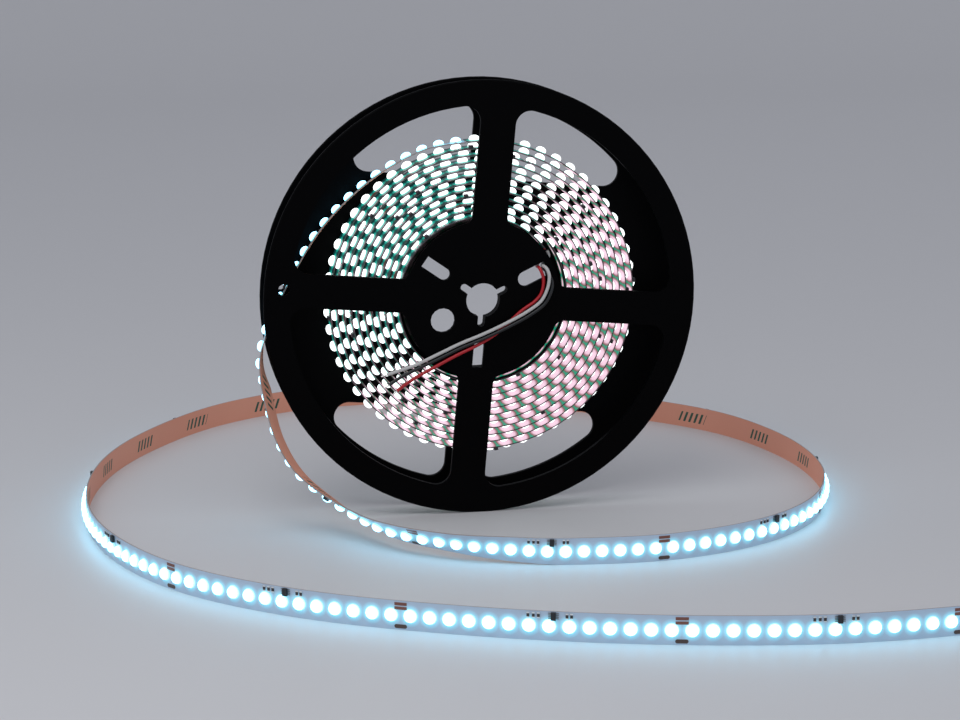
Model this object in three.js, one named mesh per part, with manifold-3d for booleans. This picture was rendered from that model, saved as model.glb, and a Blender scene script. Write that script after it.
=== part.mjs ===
// LED strip light reel: five metres of LED strip on an open plastic reel, with its outer length peeled off.
// The reel stands on its rims, on the plane Z = 0. Its axis lies along Y, and its front faces -Y.
// All lengths are in millimetres and all angles in degrees.
import * as THREE from "three";
import { mergeVertices } from "three/addons/utils/BufferGeometryUtils.js";
import Module from "manifold-3d";

const wasm = await Module();
wasm.setup();

// Reel
const REEL_RADIUS = 91;
const REEL_TURN = -5; // how far the reel has rolled round its axis, seen from the front
const RIM_SIDES = 96;
const RIM_CHAMFER = 0.5;
const FLANGE_THICKNESS = 2;
const FLANGE_GAP = 12.1; // clear width between the flanges
const WINDOW_RADIUS = 80.6;
const HUB_RADIUS = 32.9;
const UPRIGHT_SPOKE_WIDTH = 14.6;
const LEVEL_SPOKE_WIDTH = 14;
const WINDOW_CORNER = 6.3;
const HUB_CORNER = 4.1;
const BACK_CHORD = 48.6; // height of the back windows' straight edge above and below the axis
const BORE_RADIUS = 7.1;
const KEY_WIDTH = 3;
const KEY_REACH = 11.2; // from the axis to the end of a key notch
const KEY_ANGLES = [30, 150, 270];
const COLLAR_RADIUS = 13.3;
const COLLAR_DEPTH = 2.7;
const SLOTS = [
  { angle: 30, width: 6.3, inner: 16.6, outer: 29.8 },
  { angle: 150, width: 5, inner: 17.4, outer: 29.8 },
  { angle: 270, width: 4.4, inner: 17.4, outer: 28.4 },
];
const HUB_HOLE = { angle: 210, distance: 18.7, radius: 5.1 };
const RIM_HOLE = { angle: 180, distance: 82.8, radius: 2.5 };

// Winding core, a barrel between the flanges
const CORE_RADIUS = 33.1;
const CORE_WALL = 2.2;
const SEAT_GAP = 0.3; // clearance where one piece seats on another
const LEAD_GATE_ANGLE = 31; // where the leads pass through the core, before the reel's turn
const LEAD_GATE_WIDTH = 8.1;
const LEAD_GATE_DEPTH = 10.8;

// LED strip
const STRIP_WIDTH = 10.8;
const BOARD_THICKNESS = 0.3;
const LINER_THICKNESS = 0.12;
const LINER_CLEARANCE = 0.05;
const LED_PITCH = 1000 / 140;
const LEDS_PER_SEGMENT = 14;
const SEGMENTS = 50;
const LED_WIDTH = 4.5;
const LED_HEIGHT = 2.1;
const LED_CROWN = 2.2; // length of the flat crown along the strip
const CHIP = { length: 1.7, width: 2.8, height: 1.1, alongFromLed: 1.6, edgeInset: 0.25, clearance: 0.12 };
const CHIP_LED = 7; // counted from 0 at the cut line

// Winding: the strip's turns
const OUTER_TURN_RADIUS = 65.2; // back of the strip where the loose length leaves
const LEAVING_ANGLE = 95;

// Leads
const LEAD_DIAMETER = 1.4;
const LEAD_SIDES = 8;

// Loose strip: points on its middle line, each with the way its LEDs face, from the winding to the floor
const PEELED_ROUTE = [
  { at: [-22, 0, 153.2], facing: [-0.3, 0.17, 0.95] },
  { at: [-38.8, 0, 145.2], facing: [-0.47, 0.21, 0.88] },
  { at: [-52.8, 0, 135], facing: [-0.6, 0.22, 0.8] },
  { at: [-66.9, 0, 120.2], facing: [-0.77, 0.22, 0.63] },
  { at: [-80.5, 0, 98.1], facing: [-0.9, 0.18, 0.42] },
  { at: [-86.2, 0, 86.9], facing: [-0.94, 0.12, 0.3] },
  { at: [-90.2, -0.1, 76], facing: [-0.98, 0.1, 0.15] },
  { at: [-91.8, -2.7, 67.5], facing: [-0.95, 0.24, 0.04] },
  { at: [-90.8, -7.7, 58.5], facing: [-0.87, 0.48, 0] },
  { at: [-86.9, -17.6, 39.2], facing: [-0.88, 0.33, -0.3] },
  { at: [-79.8, -23.4, 26.1], facing: [-0.72, 0.15, -0.65] },
  { at: [-69.1, -30.6, 17.1], facing: [-0.5, -0.1, -0.85] },
  { at: [-58.5, -43, 11.7], facing: [-0.38, -0.42, -0.82] },
  { at: [-47.2, -58, 9], facing: [-0.35, -0.65, -0.67] },
  { at: [-25.2, -74.4, 7.5], facing: [-0.35, -0.75, -0.55] },
  { at: [-5.4, -81.9, 6.3], facing: [-0.3, -0.92, -0.25] },
];
// Then its places on the floor, where it stands on its edge with the LEDs outwards
const FLOOR_ROUTE = [
  [16, -87], [59.5, -89], [101, -75.5], [130.5, -50.5], [149.5, -13.5], [155.5, 27], [151, 67.5],
  [137.5, 103.5], [109, 137.5], [62, 173], [4.5, 195], [-51, 191], [-95, 167], [-131.5, 122.5],
  [-154, 75], [-164, 18], [-158.5, -36], [-135, -88], [-94.5, -128], [-36, -160.5], [25, -182.5],
  [86.5, -194.5], [130, -195], [180, -190], [232, -180],
];

// Lead routes, from the strip's inner end, through the slot and across the hub, relative to the reel's axis
const WHITE_ROUTE = [
  [28.4, -3.1, 18.9], [28.9, -3.1, 16.8], [27.9, -3.5, 14.9], [26.1, -4.7, 13.8], [25.4, -6.5, 13.5],
  [25.5, -7.9, 13.5], [26.3, -9.8, 12.9], [27.3, -10.6, 10.6], [27.4, -10.6, 7.7], [26.7, -10.6, 4.3],
  [24.1, -10.6, -0.7], [18.2, -10.6, -5], [9.4, -10.6, -9.5], [0.1, -10.1, -13.7], [-10, -9, -17.8],
  [-20.2, -9, -22.3], [-29, -9, -26.1], [-34.8, -9, -27.9], [-40.6, -9, -29.6],
];
const BLACK_ROUTE = [
  [28.4, 0, 18.9], [29, 0, 16.7], [28.2, -0.5, 14.4], [26.6, -2.3, 12.5], [26.1, -5.4, 11.9],
  [26.2, -7.6, 11.8], [27.4, -9, 10.4], [28.4, -9.1, 8.6], [29, -9.7, 6.3], [28.4, -10.5, 3.2],
  [25.6, -10.6, -2], [19.1, -10.6, -6.7], [10.2, -10.6, -11.2], [0.9, -10.1, -15.4], [-9.3, -9, -19.5],
  [-19.4, -9, -24], [-28.4, -9, -27.9], [-34.2, -9, -30.5], [-39.9, -9, -34],
];
const RED_ROUTE = [
  [28.4, 3.1, 18.9], [28.8, 3.1, 16.8], [27.7, 2.5, 14.8], [25.2, 0.5, 13.3], [23.8, -3.6, 12.8],
  [23.8, -7.5, 12.8], [24.5, -9, 11.2], [25.4, -9, 8.1], [24.6, -9, 2.5], [22, -9, -0.9],
  [16.7, -9, -4.5], [10.8, -9, -9.5], [5.2, -9, -14.2], [-1.8, -9, -18.3], [-11.3, -9, -22.6],
  [-19.8, -9, -26.8], [-29, -9, -31.5], [-34.8, -9, -35.3], [-36.5, -9, -36.7],
];

// Sizes that follow
const HUB_HEIGHT = REEL_RADIUS * Math.cos(Math.PI / RIM_SIDES); // the rims stand on the middle of a side
const FLANGE_INSIDE = FLANGE_GAP / 2;
const FLANGE_OUTSIDE = FLANGE_INSIDE + FLANGE_THICKNESS;
const CORE_BORE = CORE_RADIUS - CORE_WALL;
const TURN_THICKNESS = BOARD_THICKNESS + LINER_CLEARANCE + LINER_THICKNESS;
const INNER_TURN_RADIUS = CORE_RADIUS + SEAT_GAP;
const CUT_MARGIN = 1; // how far a cutter runs past the face it cuts

const radians = THREE.MathUtils.degToRad;
const polar = (distance, angle) =>
  new THREE.Vector2(distance * Math.cos(radians(angle)), distance * Math.sin(radians(angle)));

// Solids from geometries, and back
function toSolid(geometry) {
  const bare = geometry.clone();
  bare.deleteAttribute("normal");
  bare.deleteAttribute("uv");
  const merged = mergeVertices(bare, 1e-4);
  return new wasm.Manifold(
    new wasm.Mesh({
      numProp: 3,
      vertProperties: new Float32Array(merged.attributes.position.array),
      triVerts: new Uint32Array(merged.index.array),
    }),
  );
}

function toGeometry(solid) {
  const mesh = solid.getMesh();
  const geometry = new THREE.BufferGeometry();
  geometry.setAttribute("position", new THREE.BufferAttribute(new Float32Array(mesh.vertProperties), 3));
  geometry.setIndex(new THREE.BufferAttribute(new Uint32Array(mesh.triVerts), 1));
  geometry.computeVertexNormals();
  return geometry;
}

// A ring or disc round the reel's axis. Its profile runs anticlockwise: x is the radius, y lies along the axis.
function turned(profile, sides = RIM_SIDES) {
  const closed = [...profile, profile[0]].map(([radius, along]) => new THREE.Vector2(radius, along));
  return toSolid(new THREE.LatheGeometry(closed, sides, Math.PI / sides));
}

// A plate with the outline of a shape in the plane of the reel, from one place on the axis to another
function plate(shape, from, to, curveSegments = 8) {
  const geometry = new THREE.ExtrudeGeometry(shape, { depth: to - from, bevelEnabled: false, curveSegments });
  return toSolid(geometry.rotateX(Math.PI / 2).translate(0, to, 0));
}

// The third side of a right triangle, and the angle at which a corner's centre lies
const otherSide = (reach, side) => Math.sqrt(reach ** 2 - side ** 2);
const lean = (corner) => Math.atan2(corner.y, corner.x);

// Outline of a window between two spokes, from the hub's edge to the window's outer radius
function frontWindow(halfSide, halfLevel) {
  const cornerReach = WINDOW_RADIUS - WINDOW_CORNER;
  const hubReach = HUB_RADIUS + HUB_CORNER;
  const upperOuter = { x: halfSide + WINDOW_CORNER, y: otherSide(cornerReach, halfSide + WINDOW_CORNER) };
  const lowerOuter = { x: otherSide(cornerReach, halfLevel + WINDOW_CORNER), y: halfLevel + WINDOW_CORNER };
  const upperInner = { x: halfSide + HUB_CORNER, y: otherSide(hubReach, halfSide + HUB_CORNER) };
  const lowerInner = { x: otherSide(hubReach, halfLevel + HUB_CORNER), y: halfLevel + HUB_CORNER };
  const shape = new THREE.Shape();
  shape.absarc(upperOuter.x, upperOuter.y, WINDOW_CORNER, Math.PI, lean(upperOuter), true);
  shape.absarc(0, 0, WINDOW_RADIUS, lean(upperOuter), lean(lowerOuter), true);
  shape.absarc(lowerOuter.x, lowerOuter.y, WINDOW_CORNER, lean(lowerOuter), -Math.PI / 2, true);
  shape.absarc(lowerInner.x, lowerInner.y, HUB_CORNER, -Math.PI / 2, lean(lowerInner) - Math.PI, true);
  shape.absarc(0, 0, HUB_RADIUS, lean(lowerInner), lean(upperInner), false);
  shape.absarc(upperInner.x, upperInner.y, HUB_CORNER, lean(upperInner) - Math.PI, -Math.PI, true);
  return shape;
}

// Outline of a back window, between the rim, a straight chord and the upright spoke
function backWindow(halfSide) {
  const cornerReach = WINDOW_RADIUS - WINDOW_CORNER;
  const left = halfSide + WINDOW_CORNER;
  const bottom = BACK_CHORD + WINDOW_CORNER;
  const upper = { x: left, y: otherSide(cornerReach, left) };
  const outer = { x: otherSide(cornerReach, bottom), y: bottom };
  const shape = new THREE.Shape();
  shape.absarc(upper.x, upper.y, WINDOW_CORNER, Math.PI, lean(upper), true);
  shape.absarc(0, 0, WINDOW_RADIUS, lean(upper), lean(outer), true);
  shape.absarc(outer.x, outer.y, WINDOW_CORNER, lean(outer), -Math.PI / 2, true);
  shape.absarc(left, bottom, WINDOW_CORNER, -Math.PI / 2, -Math.PI, true);
  return shape;
}

// Outline of a round hole
function roundHole(distance, angle, radius) {
  const centre = polar(distance, angle);
  const shape = new THREE.Shape();
  shape.absarc(centre.x, centre.y, radius, 0, 2 * Math.PI, false);
  return shape;
}

// Outline of a slot along a radius, with a round inner end and, where asked, a round outer end
function radialSlot({ angle, width, inner, outer, roundOuter = false }) {
  const half = width / 2;
  const turn = radians(angle);
  const place = (along, across) => [
    along * Math.cos(turn) - across * Math.sin(turn),
    along * Math.sin(turn) + across * Math.cos(turn),
  ];
  const shape = new THREE.Shape();
  const innerCentre = place(inner + half, 0);
  shape.absarc(...innerCentre, half, turn + Math.PI / 2, turn + 1.5 * Math.PI, false);
  if (roundOuter) {
    shape.absarc(...place(outer - half, 0), half, turn - Math.PI / 2, turn + Math.PI / 2, false);
  } else {
    shape.lineTo(...place(outer, -half));
    shape.lineTo(...place(outer, half));
  }
  return shape;
}

// The four quarters of a window pattern, each turned from the first
function fourWindows(outline, from, to) {
  const half = UPRIGHT_SPOKE_WIDTH / 2;
  const level = LEVEL_SPOKE_WIDTH / 2;
  return [0, 1, 2, 3].map((quarter) => {
    const cutter = quarter % 2 === 0 ? outline(half, level) : outline(level, half);
    return plate(cutter, from, to, 10).rotate([0, -90 * quarter, 0]);
  });
}

function mirroredBackWindows(from, to) {
  const first = plate(backWindow(UPRIGHT_SPOKE_WIDTH / 2), from, to, 10);
  return [first, first.mirror([1, 0, 0]), first.mirror([0, 0, 1]), first.mirror([1, 0, 0]).mirror([0, 0, 1])];
}

// Front flange: rim, four spokes and a hub disc with its keyed bore, slots and hole
function frontFlange() {
  const chamfered = REEL_RADIUS - RIM_CHAMFER;
  const disc = turned([
    [0, -FLANGE_OUTSIDE],
    [chamfered, -FLANGE_OUTSIDE],
    [REEL_RADIUS, -FLANGE_OUTSIDE + RIM_CHAMFER],
    [REEL_RADIUS, -FLANGE_INSIDE - RIM_CHAMFER],
    [chamfered, -FLANGE_INSIDE],
    [0, -FLANGE_INSIDE],
  ]);
  const collarEnd = -FLANGE_INSIDE + COLLAR_DEPTH;
  const collar = plate(roundHole(0, 0, COLLAR_RADIUS), -FLANGE_INSIDE - CUT_MARGIN, collarEnd, 24);
  const from = -FLANGE_OUTSIDE - CUT_MARGIN;
  const through = -FLANGE_INSIDE + CUT_MARGIN;
  const past = collarEnd + CUT_MARGIN;
  const key = { width: KEY_WIDTH, inner: BORE_RADIUS / 2, outer: KEY_REACH, roundOuter: true };
  const cutters = [
    ...fourWindows(frontWindow, from, through),
    plate(roundHole(0, 0, BORE_RADIUS), from, past, 16),
    ...KEY_ANGLES.map((angle) => plate(radialSlot({ angle, ...key }), from, past)),
    ...SLOTS.map((slot) => plate(radialSlot(slot), from, past)),
    plate(roundHole(HUB_HOLE.distance, HUB_HOLE.angle, HUB_HOLE.radius), from, past),
    plate(roundHole(RIM_HOLE.distance, RIM_HOLE.angle, RIM_HOLE.radius), from, through, 5),
  ];
  const features = wasm.Manifold.union(cutters).rotate([0, -REEL_TURN, 0]);
  return toGeometry(disc.add(collar).subtract(features));
}

// Back flange: rim and a band across it, open over the whole core
function backFlange() {
  const chamfered = REEL_RADIUS - RIM_CHAMFER;
  const ring = turned([
    [CORE_BORE, FLANGE_INSIDE],
    [chamfered, FLANGE_INSIDE],
    [REEL_RADIUS, FLANGE_INSIDE + RIM_CHAMFER],
    [REEL_RADIUS, FLANGE_OUTSIDE - RIM_CHAMFER],
    [chamfered, FLANGE_OUTSIDE],
    [CORE_BORE, FLANGE_OUTSIDE],
  ]);
  const from = FLANGE_INSIDE - CUT_MARGIN;
  const past = FLANGE_OUTSIDE + CUT_MARGIN;
  const cutters = [
    ...mirroredBackWindows(from, past),
    plate(roundHole(RIM_HOLE.distance, RIM_HOLE.angle, RIM_HOLE.radius), from, past, 5),
  ];
  return toGeometry(ring.subtract(wasm.Manifold.union(cutters).rotate([0, -REEL_TURN, 0])));
}

// Winding core: the barrel that the strip is wound on, with a gate for the leads
function windingCore() {
  const end = FLANGE_INSIDE - SEAT_GAP;
  const barrel = turned([
    [CORE_BORE, -end],
    [CORE_RADIUS, -end],
    [CORE_RADIUS, end],
    [CORE_BORE, end],
  ], 64);
  const gate = new THREE.BoxGeometry(4 * CORE_WALL, LEAD_GATE_DEPTH, LEAD_GATE_WIDTH);
  gate.translate(CORE_RADIUS - CORE_WALL / 2, LEAD_GATE_DEPTH / 2 - end - CUT_MARGIN, 0);
  return toGeometry(barrel.subtract(toSolid(gate).rotate([0, -LEAD_GATE_ANGLE - REEL_TURN, 0])));
}

// A place along the strip: its middle, the way it runs, the way its LEDs face and the way across it
function station(middle, along, facing) {
  const face = facing.clone().addScaledVector(along, -facing.dot(along)).normalize();
  return { middle, along, face, across: new THREE.Vector3().crossVectors(face, along) };
}

// A point on a station, so far along, across and out from its middle
function onStation({ middle, along, face, across }, lengthwise, sideways, out) {
  const point = middle.clone().addScaledVector(along, lengthwise);
  return point.addScaledVector(across, sideways).addScaledVector(face, out);
}

// A ribbon from station to station, between two levels above its middle
function ribbon(stations, low, high) {
  const half = STRIP_WIDTH / 2;
  const points = [];
  const faces = [];
  stations.forEach((place) => {
    points.push(onStation(place, 0, -half, low), onStation(place, 0, half, low));
    points.push(onStation(place, 0, half, high), onStation(place, 0, -half, high));
  });
  const quad = (a, b, c, d) => faces.push(a, b, c, a, c, d);
  quad(3, 2, 1, 0);
  for (let i = 0; i + 1 < stations.length; i += 1) {
    const a = 4 * i;
    const b = a + 4;
    quad(a, a + 1, b + 1, b);
    quad(a + 1, a + 2, b + 2, b + 1);
    quad(a + 3, a, b, b + 3);
  }
  const last = 4 * (stations.length - 1);
  quad(last, last + 1, last + 2, last + 3);
  return { points, faces, quad };
}

// A closed geometry from points and faces
function closedGeometry({ points, faces }) {
  const geometry = new THREE.BufferGeometry().setFromPoints(points);
  geometry.setIndex(faces);
  geometry.computeVertexNormals();
  return geometry;
}

// A plain ribbon, such as the liner
function plainRibbon(stations, low, high) {
  const body = ribbon(stations, low, high);
  for (let i = 0; i + 1 < stations.length; i += 1) {
    const a = 4 * i;
    body.quad(a + 3, a + 7, a + 6, a + 2);
  }
  return closedGeometry(body);
}

// A ribbon with one raised LED in the middle of each step
function ledRibbon(stations, low, high) {
  const body = ribbon(stations, low, high);
  const { points, faces, quad } = body;
  const inset = (LED_PITCH - LED_WIDTH) / 2 / LED_PITCH;
  const sideInset = (STRIP_WIDTH - LED_WIDTH) / 2 / STRIP_WIDTH;
  for (let i = 0; i + 1 < stations.length; i += 1) {
    const corner = [4 * i + 3, 4 * i + 7, 4 * i + 6, 4 * i + 2];
    const onFace = (u, v) => {
      const near = points[corner[0]].clone().lerp(points[corner[1]], u);
      return near.lerp(points[corner[3]].clone().lerp(points[corner[2]], u), v);
    };
    const first = points.length;
    points.push(onFace(inset, sideInset), onFace(1 - inset, sideInset));
    points.push(onFace(1 - inset, 1 - sideInset), onFace(inset, 1 - sideInset));
    const centre = onFace(0.5, 0.5);
    const out = stations[i].face.clone().add(stations[i + 1].face).normalize();
    const along = points[corner[1]].clone().sub(points[corner[0]]).normalize();
    const crown = centre.addScaledVector(out, LED_HEIGHT);
    points.push(crown.clone().addScaledVector(along, -LED_CROWN / 2));
    points.push(crown.clone().addScaledVector(along, LED_CROWN / 2));
    const [back, front] = [first + 4, first + 5];
    for (let k = 0; k < 4; k += 1) {
      const next = (k + 1) % 4;
      quad(corner[k], corner[next], first + next, first + k);
    }
    quad(first, first + 1, front, back);
    quad(first + 2, first + 3, back, front);
    faces.push(first + 1, first + 2, front);
    faces.push(first + 3, first, back);
  }
  return closedGeometry(body);
}

// The loose length's curve, from the leaving point of the winding to its cut end
function looseCurve() {
  const leaving = polar(OUTER_TURN_RADIUS + TURN_THICKNESS / 2, LEAVING_ANGLE);
  const start = { at: [leaving.x, 0, HUB_HEIGHT + leaving.y], facing: [leaving.x, 0, leaving.y] };
  const floor = FLOOR_ROUTE.map(([x, y]) => new THREE.Vector3(x, y, STRIP_WIDTH / 2));
  const points = [...[start, ...PEELED_ROUTE].map(({ at }) => new THREE.Vector3(...at)), ...floor];
  const up = new THREE.Vector3(0, 0, 1);
  const facings = points.map((point, i) => {
    if (i === 0) return new THREE.Vector3(...start.facing).normalize();
    if (i <= PEELED_ROUTE.length) return new THREE.Vector3(...PEELED_ROUTE[i - 1].facing).normalize();
    const ahead = points[Math.min(i + 1, points.length - 1)].clone().sub(points[i - 1]);
    return ahead.cross(up).normalize();
  });
  const curve = new THREE.CatmullRomCurve3(points, false, "centripetal");
  curve.arcLengthDivisions = 3000;
  return { curve, facings, length: curve.getLength() };
}

// The station at a distance along the loose length
function looseStation({ curve, facings, length }, distance) {
  const t = curve.getUtoTmapping(distance / length);
  const middle = curve.getPoint(t);
  middle.z = Math.max(middle.z, STRIP_WIDTH / 2);
  const place = t * (facings.length - 1);
  const i = Math.min(Math.floor(place), facings.length - 2);
  const facing = facings[i].clone().lerp(facings[i + 1], place - i);
  const along = curve.getTangent(t);
  if (i > PEELED_ROUTE.length) along.z = 0;
  return station(middle, along.normalize(), facing);
}

// Stations of the winding, at equal steps of the LED pitch from its inner end to its outer end
function woundStations(leds) {
  // growth is the gain in radius for each radian
  const growth = (OUTER_TURN_RADIUS ** 2 - INNER_TURN_RADIUS ** 2) / (2 * leds * LED_PITCH);
  const sweep = (OUTER_TURN_RADIUS - INNER_TURN_RADIUS) / growth;
  const angleAt = (radius) => radians(LEAVING_ANGLE) - sweep + (radius - INNER_TURN_RADIUS) / growth;
  return Array.from({ length: leds + 1 }, (_, i) => {
    const radius = Math.sqrt(INNER_TURN_RADIUS ** 2 + 2 * growth * LED_PITCH * i);
    const angle = angleAt(radius);
    const facing = new THREE.Vector3(Math.cos(angle), 0, Math.sin(angle));
    const along = new THREE.Vector3(-Math.sin(angle), 0, Math.cos(angle));
    return station(facing.clone().multiplyScalar(radius + TURN_THICKNESS / 2), along, facing);
  });
}

// A round lead along its route
function lead(route) {
  const points = route.map((point) => new THREE.Vector3(...point));
  const curve = new THREE.CatmullRomCurve3(points, false, "centripetal");
  const section = new THREE.Shape();
  const corner = (i) => polar(LEAD_DIAMETER / 2, (360 * i) / LEAD_SIDES);
  section.setFromPoints(Array.from({ length: LEAD_SIDES }, (_, i) => corner(i)));
  const steps = Math.round(curve.getLength() / (2 * LEAD_DIAMETER));
  return new THREE.ExtrudeGeometry(section, { steps, extrudePath: curve, bevelEnabled: false });
}

const materials = {
  reel: new THREE.MeshStandardMaterial({ color: 0x0b0c0f, roughness: 0.42, metalness: 0 }),
  board: new THREE.MeshStandardMaterial({ color: 0xdfeef5, roughness: 0.5, metalness: 0 }),
  liner: new THREE.MeshStandardMaterial({ color: 0xc9805f, roughness: 0.6, metalness: 0 }),
  chip: new THREE.MeshStandardMaterial({ color: 0x15161a, roughness: 0.45, metalness: 0 }),
  white: new THREE.MeshStandardMaterial({ color: 0xd8d8d8, roughness: 0.5, metalness: 0 }),
  black: new THREE.MeshStandardMaterial({ color: 0x101012, roughness: 0.5, metalness: 0 }),
  red: new THREE.MeshStandardMaterial({ color: 0xb01016, roughness: 0.5, metalness: 0 }),
};

function named(name, geometry, material) {
  const mesh = new THREE.Mesh(geometry, material);
  mesh.name = name;
  return mesh;
}

// Assembly
const object = new THREE.Group();
const reel = new THREE.Group();
reel.position.set(0, 0, HUB_HEIGHT);
object.add(reel);

reel.add(named("front_flange", frontFlange(), materials.reel));
reel.add(named("back_flange", backFlange(), materials.reel));
reel.add(named("winding_core", windingCore(), materials.reel));
reel.add(named("lead_white", lead(WHITE_ROUTE), materials.white));
reel.add(named("lead_black", lead(BLACK_ROUTE), materials.black));
reel.add(named("lead_red", lead(RED_ROUTE), materials.red));

const loose = looseCurve();
const looseLeds = Math.floor((loose.length - SEAT_GAP) / LED_PITCH);
const woundLeds = SEGMENTS * LEDS_PER_SEGMENT - looseLeds;
const looseAt = (led) => looseStation(loose, loose.length - (looseLeds - led) * LED_PITCH);
const looseStations = Array.from({ length: looseLeds + 1 }, (_, led) => looseAt(led));
const boardBack = TURN_THICKNESS / 2 - BOARD_THICKNESS;
const boardFront = TURN_THICKNESS / 2;
const linerBack = -TURN_THICKNESS / 2;

reel.add(named("wound_strip", ledRibbon(woundStations(woundLeds), linerBack, boardFront), materials.board));
object.add(named("loose_strip", ledRibbon(looseStations, boardBack, boardFront), materials.board));
const linerRibbon = plainRibbon(looseStations, linerBack, linerBack + LINER_THICKNESS);
object.add(named("loose_liner", linerRibbon, materials.liner));

// Driver chips, one in each segment of the loose length
for (let led = 0, number = 1; led < looseLeds; led += 1) {
  if ((woundLeds + led) % LEDS_PER_SEGMENT !== CHIP_LED) continue;
  const place = looseAt(led + 0.5 + CHIP.alongFromLed / LED_PITCH);
  const sideways = STRIP_WIDTH / 2 - CHIP.edgeInset - CHIP.width / 2;
  const chip = named(
    "driver_chip_" + String(number).padStart(2, "0"),
    new THREE.BoxGeometry(CHIP.length, CHIP.width, CHIP.height),
    materials.chip,
  );
  chip.position.copy(onStation(place, 0, sideways, boardFront + CHIP.clearance + CHIP.height / 2));
  chip.setRotationFromMatrix(new THREE.Matrix4().makeBasis(place.along, place.across, place.face.clone()));
  object.add(chip);
  number += 1;
}

export default object;
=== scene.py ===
"""Looks of an LED strip light reel.

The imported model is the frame: two flanges, the winding core and the driver chips are dressed where they are.
The strip, its LEDs, its liner and the three leads are modelled here along the same routes as the solids.
The reel's axis lies along Y, its front faces -Y, and it stands on Z = 0. Lengths are in metres.
"""

from __future__ import annotations

import logging
import math
from bisect import bisect_right
from dataclasses import dataclass, field
from enum import Enum
from typing import Callable, Iterable, Sequence

import bpy
from mathutils import Matrix, Vector

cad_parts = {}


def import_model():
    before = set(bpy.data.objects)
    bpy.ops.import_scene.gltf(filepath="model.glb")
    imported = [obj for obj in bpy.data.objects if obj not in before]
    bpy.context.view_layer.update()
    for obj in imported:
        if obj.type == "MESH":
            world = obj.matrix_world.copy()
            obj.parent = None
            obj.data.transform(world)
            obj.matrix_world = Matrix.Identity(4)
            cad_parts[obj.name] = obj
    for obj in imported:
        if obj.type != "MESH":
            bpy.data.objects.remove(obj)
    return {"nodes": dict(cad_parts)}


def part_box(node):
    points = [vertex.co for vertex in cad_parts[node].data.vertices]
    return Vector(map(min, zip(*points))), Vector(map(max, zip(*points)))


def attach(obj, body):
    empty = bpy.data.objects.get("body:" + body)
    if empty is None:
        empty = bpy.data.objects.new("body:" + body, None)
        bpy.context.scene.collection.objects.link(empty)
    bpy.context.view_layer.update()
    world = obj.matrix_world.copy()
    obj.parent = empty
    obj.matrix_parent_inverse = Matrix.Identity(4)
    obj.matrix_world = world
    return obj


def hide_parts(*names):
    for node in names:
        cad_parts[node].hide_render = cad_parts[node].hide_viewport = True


LOG = logging.getLogger("led_strip_reel")
MM = 0.001
MOTTLING = "fine_mottling"
RUN_MARK = "run"
HEIGHT_MARK = "height"

RGB = tuple[float, float, float]
Row = tuple[float, float, float]
Socket = bpy.types.NodeSocket
Piece = bpy.types.Object


class NodeKind(Enum):
    """Shader nodes that the finishes use."""

    COORDINATES = "ShaderNodeTexCoord"
    ATTRIBUTE = "ShaderNodeAttribute"
    NOISE = "ShaderNodeTexNoise"
    RAMP = "ShaderNodeValToRGB"
    MATH = "ShaderNodeMath"
    MIX = "ShaderNodeMix"
    BUMP = "ShaderNodeBump"
    SEPARATE = "ShaderNodeSeparateXYZ"


class Stretch(Enum):
    """The two stretches of the strip."""

    WOUND = "wound"
    LOOSE = "loose"


@dataclass(frozen=True)
class Station:
    """A place on the strip: its middle, the way it runs, the way its LEDs face and the way across it."""

    middle: Vector
    along: Vector
    face: Vector
    across: Vector

    @classmethod
    def facing(cls, middle: Vector, along: Vector, face: Vector) -> Station:
        """Makes a station whose LEDs face as nearly as they can towards a direction.

        Args:
            middle: The place on the strip's middle line.
            along: The way the strip runs.
            face: The way the LEDs should face.

        Returns:
            The station, with its three directions square to each other.
        """
        along = along.normalized()
        face = (face - along * face.dot(along)).normalized()
        return cls(middle, along, face, face.cross(along))

    def point(self, sideways: float, out: float) -> Vector:
        """Returns the point so far across and out from the middle."""
        return self.middle + self.across * sideways + self.face * out

    def matrix(self) -> Matrix:
        """Returns the turn and place that put a piece modelled flat at the origin onto this station."""
        turn = Matrix((self.along, self.across, self.face)).transposed().to_4x4()
        return Matrix.Translation(self.middle) @ turn


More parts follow.
